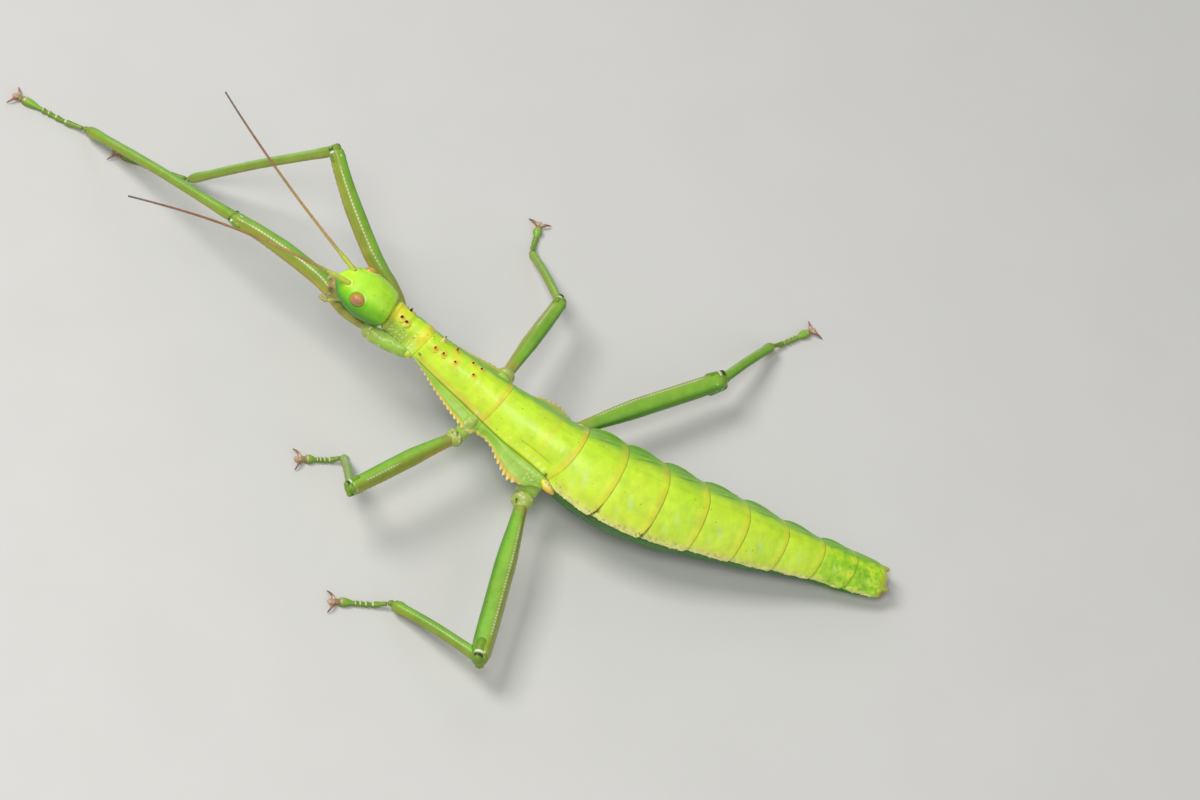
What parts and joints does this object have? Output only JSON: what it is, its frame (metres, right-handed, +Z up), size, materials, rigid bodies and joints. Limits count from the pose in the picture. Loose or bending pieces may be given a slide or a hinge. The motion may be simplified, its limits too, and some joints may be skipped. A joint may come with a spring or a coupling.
{
  "type": "giant stick insect",
  "caption": "Life-size still model of a plump wingless green stick insect standing on long thin legs, forelegs stretched ahead.",
  "frame": {"origin": "middle of the footprint, on the floor", "axes": "+Z up, -Y the way the head looks, +X the animal's left side"},
  "size_m": [0.0808, 0.1418, 0.0264],
  "materials": {
    "body": "smooth waxy lime-green skin with yellow plate edges",
    "legs": "satin green skin with pale ridges, tan at the base",
    "feet": "dull tan to brown skin",
    "claws": "dark brown polished horn",
    "eyes": "glossy pinkish tan with fine facets",
    "feelers": "dull brown, ringed, greenish at the base",
    "mouthparts": "satin tan and green"
  },
  "bodies": {
    "root": {"head": "body", "mouthparts": "mouthparts", "eye_left": "eyes", "eye_right": "eyes", "antenna_left": "feelers", "antenna_right": "feelers", "prothorax": "body", "mesothorax": "body", "metathorax": "body", "abdomen_2": "body", "abdomen_3": "body", "abdomen_4": "body", "abdomen_5": "body", "abdomen_6": "body", "abdomen_7": "body", "abdomen_8": "body", "tail": "body", "operculum": "body", "fore_left_coxa": "legs", "fore_left_femur": "legs", "fore_left_tibia": "legs", "fore_left_tarsus": "feet", "fore_left_claws": "claws", "fore_right_coxa": "legs", "fore_right_femur": "legs", "fore_right_tibia": "legs", "fore_right_tarsus": "feet", "fore_right_claws": "claws", "mid_left_coxa": "legs", "mid_left_femur": "legs", "mid_left_tibia": "legs", "mid_left_tarsus": "feet", "mid_left_claws": "claws", "mid_right_coxa": "legs", "mid_right_femur": "legs", "mid_right_tibia": "legs", "mid_right_tarsus": "feet", "mid_right_claws": "claws", "hind_left_coxa": "legs", "hind_left_femur": "legs", "hind_left_tibia": "legs", "hind_left_tarsus": "feet", "hind_left_claws": "claws", "hind_right_coxa": "legs", "hind_right_femur": "legs", "hind_right_tibia": "legs", "hind_right_tarsus": "feet", "hind_right_claws": "claws"}
  },
  "joints": []
}
